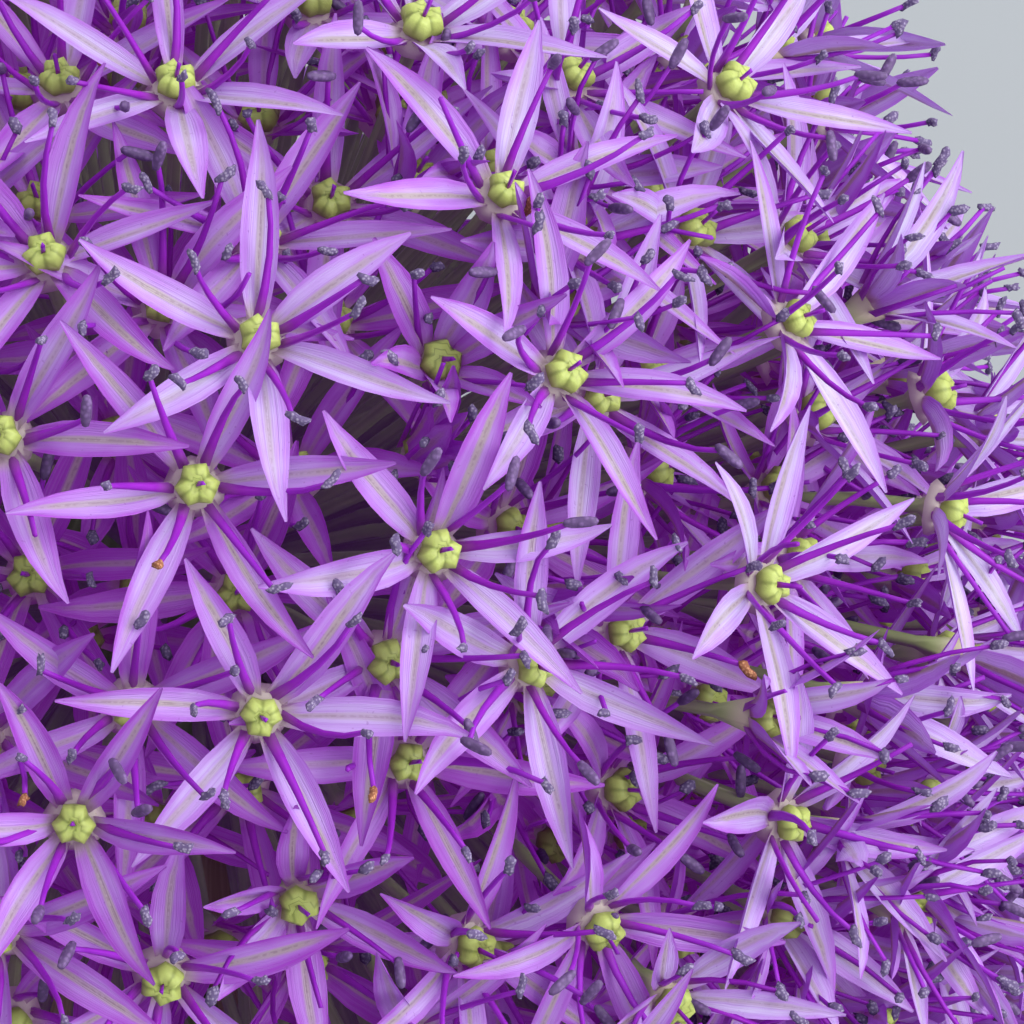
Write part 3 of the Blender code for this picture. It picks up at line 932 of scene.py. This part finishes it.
def pedicel(bm, start, heading, hub, axis, side, plain, tint):
    """A thin stalk that widens into the hub of its floret."""
    top = hub + axis * (0.35 * MM)
    path = Path(start, heading, top, axis, side)
    length = (top - start).length

    def place(corner):
        part = 1 - (1 - corner.z) ** 1.9
        spot, aside, up, _ = path.at(part)
        left = (1 - part) * length
        radius = PEDICEL_RADIUS + (HUB_RADIUS - PEDICEL_RADIUS) * exp(-(left / HUB_DEPTH) ** 2)
        return spot + (aside * corner.x + up * corner.y) * radius

    grow(bm, PLAIN_PEDICEL if plain else PEDICEL_TUBE, place, tint)


print("ovary:", round(2 * OVARY_HALF_WIDTH / MM, 2), "mm across")

# %% [markdown]
# ## One floret
#
# The tips are sorted round the axis, and the six bases are spaced evenly to match them.
# A filament stands over each tepal. Florets that are still opening have fresh anthers,
# and in the older ones most anthers have burst. Florets on the side the lamps light most
# are painted paler, as painted light.
#
# A whole floret could be a master as well. But its tips would miss those of the solid, and
# the eye would soon find the repeats, so every angle is drawn anew.

# %% The floret's own frame
# How deep a floret stands paints shade: the deeper ones get darker purple tepals.
OUTERMOST, SHELTERED = 62.5 * MM, 14 * MM


def depth_of(hub):
    """How deep in the head a floret stands: 0 among the outermost, 1 for the deepest."""
    return min(1.0, max(0.0, (OUTERMOST - (hub - centre).length) / SHELTERED))


def frame_of(axis, tips, hub):
    """East and north of a floret, and its tips with their bearings, in order."""
    east = axis.orthogonal().normalized()
    north = axis.cross(east)
    found = [(atan2((tip - hub).dot(north), (tip - hub).dot(east)), tip) for tip in tips]
    return east, north, sorted(found, key=lambda item: item[0])


def even_turn(found):
    """The bearing of the first of six even bases that suits the bearings of the tips best."""
    step = 2 * pi / len(found)
    swings = [bearing - number * step for number, (bearing, _) in enumerate(found)]
    return atan2(sum(map(sin, swings)), sum(map(cos, swings)))


print("sheltered florets stand within", round((OUTERMOST - SHELTERED) / MM, 1), "mm")

# %% A tepal and a filament of a floret
TWISTED_SHARE = 0.22           # tepals that turn far enough to show their underside
TEPAL_WIDTHS, FOLDS = (0.84, 1.12), (0.20, 0.55)
FILAMENT_LENGTHS, FILAMENT_WIDTHS = (0.86, 1.10), (0.85, 1.15)
FILAMENT_RISE = 0.25 * MM      # of its start over the hub
LOWEST_END = 1.0 * MM          # of a filament above the surface
ANTHERS_LEFT = 0.94            # the rest have fallen


def set_tepal(bm, start, tip, axis, side, curl, plain, tint):
    """One tepal from its base to its tip, with a lift, a lean and a twist of its own."""
    chord = (tip - start).normalized()
    lift = curl + rng.normal(0, 0.10)
    heading = (chord + (axis * lift + side * rng.normal(0, 0.10))).normalized()
    arrival = (chord - (axis * lift + side * rng.normal(0, 0.14))).normalized()
    twist = rng.normal(0, 0.9 if rng.random() < TWISTED_SHARE else 0.25)
    path = Path(start, heading, tip, arrival, side, twist)
    tepal(bm, PLAIN_BLADE if plain else BLADE, path,
          TEPAL_HALF_WIDTH * rng.uniform(*TEPAL_WIDTHS), rng.uniform(*FOLDS), tint)


def set_filament(bm, hub, axis, out, side, spread, youth, plain, tint):
    """One filament leaning out over its tepal, with its anther unless that has fallen."""
    base = hub + out * FILAMENT_START + axis * FILAMENT_RISE
    ahead = turned(axis, out, spread).normalized()
    bend = out * rng.normal(0.12, 0.14) + side * rng.normal(0, 0.14)
    length = FILAMENT_LENGTH * rng.uniform(*FILAMENT_LENGTHS)
    end = base + ahead * length
    end.z = max(end.z, LOWEST_END)
    chord = (end - base).normalized()
    path = Path(base, (chord + bend).normalized(), end, (chord - bend).normalized(), side)
    filament(bm, path, FILAMENT_BASE * rng.uniform(*FILAMENT_WIDTHS), tint,
             PLAIN_FILAMENT if plain else FILAMENT_TUBE)
    if rng.random() < ANTHERS_LEFT:
        anther(bm, path, rng.random() < youth, plain, tint)


print("twisted tepals:", round(100 * TWISTED_SHARE), "in a hundred")

# %% The whole floret
KNOB_START = 11.2 * MM         # how far from the middle of the knob a pedicel starts
FOOT_SHARE = 0.45              # how far a pedicel's start leans to the foot of its spray
# Painted light: florets that face the right and the crown, where the lamps are, get paler tepals.
PAINTED_LIGHT_SIDE, OWN_TONE, PAINTED_LIGHT_SHARE = Vector((0.86, 0.0, 0.51)), 0.35, 0.65
ANTHER_STAGES = (0.03, 0.25, 0.8)      # the share of a floret's anthers that are unopened
STAGE_SHARES = (0.62, 0.28, 0.10)      # the share of the florets at each of those stages
INNER_STEP, OUTER_STEP = 0.15 * MM, -0.05 * MM     # of the two whorls of tepals along the axis
TEPAL_REACHES = (0.90, 1.0)
FILAMENT_TILTS, TILT_LIMIT = (22, 52), 0.72    # degrees, and a share of the tepal's own tilt


def floret(bm, hub, axis, tips, foot, plain=False):
    """A whole floret on its pedicel, with its tepals ending at the given tips."""
    east, north, found = frame_of(axis, tips, hub)
    turn, step = even_turn(found), 2 * pi / len(found)
    depth = depth_of(hub)
    # Painted light: the more a floret faces the lamps' side, the paler its tepals are painted.
    painted_light_facing = (hub - centre).normalized().dot(lean @ PAINTED_LIGHT_SIDE)
    floret_draw_and_light = min(1.0, OWN_TONE * rng.random() + PAINTED_LIGHT_SHARE * (1 - painted_light_facing))
    youth = rng.choice(ANTHER_STAGES, p=STAGE_SHARES)
    curl = rng.normal(0.10, 0.10)
    for number, (_, tip) in enumerate(found):
        around = turn + number * step
        out = turned(east, north, around)
        side = axis.cross(out)
        tint = Vector((rng.random(), floret_draw_and_light, depth))
        tip = hub + (tip - hub) * rng.uniform(*TEPAL_REACHES)
        start = hub + out * TEPAL_START + axis * (INNER_STEP if number % 2 else OUTER_STEP)
        set_tepal(bm, start, tip, axis, side, curl, plain, tint)
        spread = min(radians(rng.uniform(*FILAMENT_TILTS)), TILT_LIMIT * axis.angle(tip - hub))
        out = turned(east, north, around + rng.normal(0, 0.12))
        set_filament(bm, hub, axis, out, side, spread, youth, plain, tint)
    tint = Vector((rng.random(), floret_draw_and_light, depth))
    ovary_and_style(bm, hub, turned(east, north, turn),
                    turned(east, north, turn + pi / 2), axis, plain, tint)
    heading = (foot - centre).normalized().lerp((hub - centre).normalized(), 1 - FOOT_SHARE)
    heading.normalize()
    pedicel(bm, centre + heading * KNOB_START, heading, hub, axis, east, plain, tint)


print("pedicels start", round(KNOB_START / MM, 1), "mm from the middle of the knob")

# %% [markdown]
# ## Florets between the florets
#
# A real head has more florets than the solids can hold apart. The rest stand deeper, in the
# gaps. Some are crowded into cups whose tepals point outwards more than sideways, and the
# deepest are open stars on shorter pedicels. In the middle of the view the cups stay below
# the stars in front, and round the sides they stand as tall. A few are late buds, still
# almost closed. A head is never quite round, and this one is a little fuller on one side.
#
# A few full stars are listed one by one, each where it shows between its neighbours. The
# rest find their own gaps: each takes the direction farthest from all florets so far, out of
# a handful of tries. Every one joins the piece of the spray it stands closest to.

# %% Front florets listed one by one
FRONT_CUP, FRONT_TEPAL = radians(16.0), 14.2 * MM

# Degrees to the right and degrees up from the middle of the head as the camera sees it, the
# turn of the first tepal clockwise from the crown, and the reach in millimetres.
FRONT_FLORETS = (
    (15, -4, 12, 58),
    (32, 25, 20, 59),
    (54, 25, 10, 61),
    (7, 25, 35, 58),
    (0, 20, 45, 58),
    (19, -30, 30, 60),
)
GAP_FLORETS = ((26, 43, 20, 50), (-15, 46, 5, 50))      # deeper, behind two thin places


def front_direction(right, up):
    """The direction, in the head's frame, at these degrees from the middle of the view."""
    right, up = radians(right), radians(up)
    return Vector((sin(right) * cos(up), -cos(right) * cos(up), sin(up)))


def front_floret(bm, row, foot):
    """A full star in a chosen place, opened as far as its neighbours in the solids."""
    right, up, first_turn, reach = row
    direction = lean @ front_direction(right, up)
    hub = centre + direction * (reach * MM)
    north = (crown - direction * crown.dot(direction)).normalized()
    east = north.cross(direction)
    tips = []
    for number in range(6):
        rise = FRONT_CUP + rng.normal(0, 0.07)
        out = turned(north, east, radians(first_turn) + pi / 3 * number)
        tips.append(hub + turned(out, direction, rise) * FRONT_TEPAL)
    floret(bm, hub, direction, tips, foot)


print("florets set by hand:", len(FRONT_FLORETS) + len(GAP_FLORETS))

# %% Directions of the crowded florets
CROWDED_COUNT, TRIES = 452, 30
CROWDED_TEPAL, CUP_DEPTH = (10.5, 14.0), 13 * MM      # millimetres from the hub to a tip
LOWEST_TIP = 0.5 * MM          # of a tepal above the surface
DEEP_SHARE = 0.45
DEEP_REACH, DEEP_CUP = (43 * MM, 52 * MM), (0.15, 0.60)         # cups are in radians
CUPPED_REACH, CUPPED_CUP = (54 * MM, 63 * MM), (0.40, 1.05)
FRONT_TOP, SIDE_TOP = (64 * MM, 69 * MM), (69 * MM, 75 * MM)    # how far out their tips may be
FRONT_FACING = 0.75            # the cosine that parts the middle of the view from the sides
FULLER_SIDE = np.array((0.86, -0.10, -0.50))    # the side of the head that has grown fuller
FULLER_BY, FULLER_CROWDING = 5.0 * MM, 0.005
BUD_SHARE, BUD_CUP = 0.04, (1.20, 1.38)
STALK_CLEAR = cos(radians(155.0))     # nothing grows closer to the stalk than this


def fuller_at(directions):
    """How far directions in the head's frame look to its fuller side: 1 at most, 0 behind it."""
    return np.maximum(0.0, np.asarray(directions) @ FULLER_SIDE) ** 3


def crowded_directions(taken):
    """Directions in the head's frame, each far from those already taken."""
    taken = [np.array(item) for item in taken]
    chosen = []
    for _ in range(CROWDED_COUNT):
        height = rng.uniform(STALK_CLEAR, 1.0, TRIES)
        around = rng.uniform(0.0, 2 * pi, TRIES)
        flat = np.sqrt(1.0 - height**2)
        tries = np.column_stack((flat * np.cos(around), flat * np.sin(around), height))
        nearness = (tries @ np.array(taken).T).max(axis=1)
        best = tries[(nearness - FULLER_CROWDING * fuller_at(tries)).argmin()]
        taken.append(best)
        chosen.append(Vector(best))
    return chosen


print("florets that find their own gaps:", CROWDED_COUNT)

# %% A crowded floret


def crowded_floret(bm, direction, foot):
    """A floret squeezed into a gap: a deep open star, or a cup nearer to the outside."""
    turn, deep = rng.uniform(0, pi), rng.random() < DEEP_SHARE
    late = rng.random() < BUD_SHARE
    cup = rng.uniform(*(BUD_CUP if late else DEEP_CUP if deep else CUPPED_CUP))
    reach = rng.uniform(*(DEEP_REACH if deep else CUPPED_REACH))
    top = rng.uniform(*(FRONT_TOP if direction.dot(towards_viewer) > FRONT_FACING else SIDE_TOP))
    fuller = FULLER_BY * fuller_at(lean.transposed() @ direction)
    reach = min(reach, top - CUP_DEPTH * sin(cup)) + fuller
    hub = centre + direction * reach
    axis = (direction + Vector(rng.normal(0, 0.14, 3))).normalized()
    east = axis.orthogonal().normalized()
    north = axis.cross(east)
    tips = []
    for number in range(6):
        rise = cup + rng.normal(0, 0.14)
        out = turned(east, north, turn + pi / 3 * number + rng.normal(0, 0.08))
        tip = hub + turned(out, axis, rise) * rng.uniform(*CROWDED_TEPAL) * MM
        tip.z = max(tip.z, LOWEST_TIP)
        tips.append(tip)
    floret(bm, hub, axis, tips, foot, plain=True)


print("ready: deep stars, cups and buds")

# %% Which spray each added floret joins
to_head = head.inverted()
hubs = {node: [to_head @ item["hub"] for item in florets] for node, (florets, _) in sprays.items()}
middles = {node: sum(places, Vector()).normalized() for node, places in hubs.items()}
front = {node: [] for node in spray_nodes}
crowd = {node: [] for node in spray_nodes}
taken = [hub.normalized() for places in hubs.values() for hub in places]


def nearest_spray(direction):
    return max(spray_nodes, key=lambda node: middles[node].dot(direction))


for row in FRONT_FLORETS:
    taken.append(front_direction(*row[:2]))
    front[nearest_spray(taken[-1])].append(row)
for direction in crowded_directions(taken):
    crowd[nearest_spray(direction)].append((lean @ direction).normalized())
for row in GAP_FLORETS:
    front[nearest_spray(front_direction(*row[:2]))].append(row)
print("crowded florets in each spray:", sorted({len(found) for found in crowd.values()}))

# %% One piece for each spray


def empty_piece():
    """A bmesh with the two layers that every finish here reads."""
    bm = bmesh.new()
    bm.verts.layers.float_vector.new("Tint")
    bm.loops.layers.uv.new("Length")
    return bm


def object_from(bm, name, finishes):
    """Turn a bmesh into an object in the scene."""
    mesh = mesh_from(bm, name)
    for finish in finishes:
        mesh.materials.append(finish)
    return into_scene(name, mesh)


def piece_from(bm, name, node):
    """Turn a bmesh into a piece that stands for a solid and rides with it."""
    used = sorted({face.material_index for face in bm.faces})
    for face in bm.faces:
        face.material_index = used.index(face.material_index)
    piece = object_from(bm, name, [FINISHES[number] for number in used])
    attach(piece, "root")
    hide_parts(node)
    return piece


def spray_piece(node):
    """The florets of one spray as one piece that stands for the spray's solid."""
    florets, foot = sprays[node]
    bm = empty_piece()
    for item in florets:
        floret(bm, item["hub"], item["axis"], item["tips"], foot)
    for row in front[node]:
        front_floret(bm, row, foot)
    for direction in crowd[node]:
        crowded_floret(bm, direction, foot)
    return piece_from(bm, node.replace("floret_spray", "florets"), node)


def triangles(made):
    return sum(len(poly.vertices) - 2 for piece in made for poly in piece.data.polygons)


pieces = [spray_piece(node) for node in spray_nodes]
print("triangles in the florets:", triangles(pieces))

# %% [markdown]
# ## The stalk
#
# The stalk is turned: an outline from the middle of the cut end, over the bruised rim, up
# the long taper to the knob. Spinning it leaves it perfectly round, so each corner is then
# pushed in or out a little to give the faint ribs and the slow swells of a grown stalk. The
# knife has left the cut end slightly dished, and its flesh gets a finish of its own.

# %% Stalk
STALK_SIDES, STALK_RINGS, KNOB_RINGS = 48, 26, 9
NECK_TOP, KNOB_FOOT = -17.0 * MM, -13.0 * MM
KNOB_EDGE = radians(146.0)
CUT_RIM, CUT_DISH = 0.5 * MM, 0.3 * MM
RIBS, RIB_HEIGHT = 12, 0.07 * MM


def stalk_outline():
    """The stalk's outline as pairs of radius and height, from the cut end to the knob's top."""
    cut = -STALK_LENGTH
    face_radius = STALK_CUT_RADIUS - CUT_RIM
    points = [(face_radius * part, cut + CUT_DISH * (1 - part**2)) for part in (0, 0.4, 0.75, 0.93, 1)]
    points.append((STALK_CUT_RADIUS - 0.3 * CUT_RIM, cut + 0.25 * CUT_RIM))
    for ring in range(STALK_RINGS + 1):
        part = ring / STALK_RINGS
        radius = STALK_CUT_RADIUS + (STALK_NECK_RADIUS - STALK_CUT_RADIUS) * part
        points.append((radius, cut + CUT_RIM + (NECK_TOP - cut - CUT_RIM) * part))
    points.append((STALK_NECK_RADIUS + 0.3 * MM, KNOB_FOOT))
    for ring in range(KNOB_RINGS):
        polar = KNOB_EDGE * (1 - ring / KNOB_RINGS)
        points.append((KNOB_RADIUS * sin(polar), KNOB_RADIUS * cos(polar)))
    points.append((0.0, KNOB_RADIUS))
    return points


def stalk_piece():
    bm = empty_piece()
    corners = [bm.verts.new((radius, 0, height)) for radius, height in stalk_outline()]
    edges = [bm.edges.new(pair) for pair in zip(corners, corners[1:])]
    bmesh.ops.spin(bm, geom=corners + edges, cent=(0, 0, 0), axis=(0, 0, 1), angle=2 * pi,
                   steps=STALK_SIDES, use_merge=True)
    bmesh.ops.remove_doubles(bm, verts=bm.verts, dist=0.01 * MM)
    bmesh.ops.recalc_face_normals(bm, faces=bm.faces)
    map_tube(bm, -STALK_LENGTH, KNOB_RADIUS)
    for face in bm.faces:
        face.smooth = True
        cut = face.calc_center_median().z < -STALK_LENGTH + CUT_DISH and face.normal.z < -0.9
        face.material_index = FINISHES.index(CUT if cut else STALK)
    for vert in bm.verts:
        bearing = atan2(vert.co.y, vert.co.x)
        along = vert.co.z / (9 * MM)
        swell = RIB_HEIGHT * cos(RIBS * bearing + 0.15 * along)
        swell += 0.10 * MM * sin(along) * cos(bearing + 0.6 * along)
        away = hypot(vert.co.x, vert.co.y)
        grown = 1 + swell / max(away, STALK_NECK_RADIUS)
        vert.co = head @ Vector((vert.co.x * grown, vert.co.y * grown, vert.co.z))
        vert.co.z = max(vert.co.z, 0.0)
    return piece_from(bm, "stalk_and_knob", "stalk")


pieces.append(stalk_piece())
print("triangles in the stalk:", triangles(pieces[-1:]))

# %% [markdown]
# ## The papery bracts
#
# While the head was a bud, a papery sheath held it. The sheath split into three bracts that
# dried and folded back along the stalk, under the florets. Each is the same closed lens as a
# tepal, cut finer, and wrapped round the stalk instead of bent along a path, because paper
# that hugs a round stalk is easiest to place by its bearing, its height and how far it stands
# away. Waves, fine pleats and a nibbled edge make it paper.

# %% Bracts
BRACT_COUNT, FIRST_BRACT = 3, 100.0
BRACT_TOP, BRACT_LENGTH = -13.6 * MM, 27.0 * MM
BRACT_WRAP = 47.0              # degrees that a bract wraps to either side at its widest
BRACT_STAND_OFF, BRACT_FLARE = 1.1 * MM, 4.6 * MM
BRACT_THICKNESS = 0.22 * MM


def bract_piece(number):
    """One bract, from the neck of the stalk to its free, ragged end."""
    around = FIRST_BRACT + 360 * number / BRACT_COUNT

    def place(corner):
        across, along = corner.x, corner.y
        width = sin(pi * (0.18 + 0.78 * along)) ** 0.8
        width *= 1 - 0.07 * abs(sin(21 * along + 2 * number)) * along
        bearing = radians(around - across * BRACT_WRAP * width)
        away = STALK_NECK_RADIUS + BRACT_STAND_OFF + BRACT_FLARE * along**1.6
        away += 0.5 * MM * along * across**2
        away += 0.4 * MM * along * sin(5 * along + 3 * across)                  # waves
        away += 0.13 * MM * along * sin(17 * across + 6 * along + number)       # pleats
        away += BRACT_THICKNESS * corner.z * (1 - across**2)
        nibbled = 0.7 * MM * along * abs(sin(11 * across + number))
        height = BRACT_TOP - BRACT_LENGTH * along + nibbled
        return head @ Vector((away * cos(bearing), away * sin(bearing), height))

    bm = empty_piece()
    grow(bm, BRACT_BLADE, place, Vector((rng.random(), 0, 0)))
    return piece_from(bm, f"bract_{number + 1}", f"papery_bract_{number + 1}")


pieces += [bract_piece(number) for number in range(BRACT_COUNT)]
print("triangles in all:", triangles(pieces))

# %% [markdown]
# ## Floor and light
#
# The head lies on a plain pale surface. Most of the light comes from a pale surrounding that
# is brighter past the crown and on the right, so the shadows stay open. A broad soft lamp
# high on the right and a weaker one low on the same side give the florets their shape. A
# picture of a sky could do the same, but one slow change of strength is enough and is even.

# %% Floor
FLOOR_HALF = 4.0


def floor_material():
    material, tree, finish = new_material("pale_floor")
    tone = place_group(tree, MOTTLE, Size=6.0)
    colour = mix(tree, tone["Slow"], (0.225, 0.240, 0.250), (0.245, 0.262, 0.272))
    finish(Base_Color=colour, Roughness=0.7)
    return material


bm = bmesh.new()
bmesh.ops.create_grid(bm, x_segments=1, y_segments=1, size=FLOOR_HALF)
floor = object_from(bm, "floor", [floor_material()])
print("floor:", round(2 * FLOOR_HALF), "m across")

# %% Lamps and surroundings
SKY_COLOUR = (0.86, 0.88, 0.92, 1)
SKY_STRENGTHS = (0.75, 2.20)    # on the dim side of the surroundings and on their bright side
SKY_RIGHT, SKY_CROWN = 0.62, 0.78    # the bright side lies to the right and past the crown
bpy.context.scene.view_settings.view_transform = "Standard"


def lamp(name, right, up, near, size, power, colour):
    """A soft square lamp placed as the camera sees the head, facing its centre."""
    light = bpy.data.lights.new(name, "AREA")
    light.size, light.energy, light.color = size, power, colour
    spot = centre + Vector((right, 0, 0)) + crown * up + towards_viewer * near
    into_scene(name, light).matrix_world = look_at(spot, centre, crown)


lamp("key", 0.80, 0.60, 0.75, 0.80, 11.0, (1.0, 0.985, 0.96))
lamp("fill", 1.0, -0.4, 0.55, 1.0, 9.5, (0.98, 0.98, 1.0))
world = bpy.data.worlds.new("studio")
world.use_nodes = True
sky = world.node_tree
background = sky.nodes["Background"]
background.inputs["Color"].default_value = SKY_COLOUR
way = add_node(sky, "ShaderNodeTexCoord").outputs["Generated"]
bright_side = (Vector((SKY_RIGHT, 0, 0)) + crown * SKY_CROWN).normalized()
facing = add_node(sky, "ShaderNodeVectorMath", {0: way, 1: bright_side}, operation="DOT_PRODUCT")
strength = remap(sky, facing.outputs["Value"], -1.0, 1.0, *SKY_STRENGTHS)
feed(sky, background.inputs["Strength"], strength)
bpy.context.scene.world = world
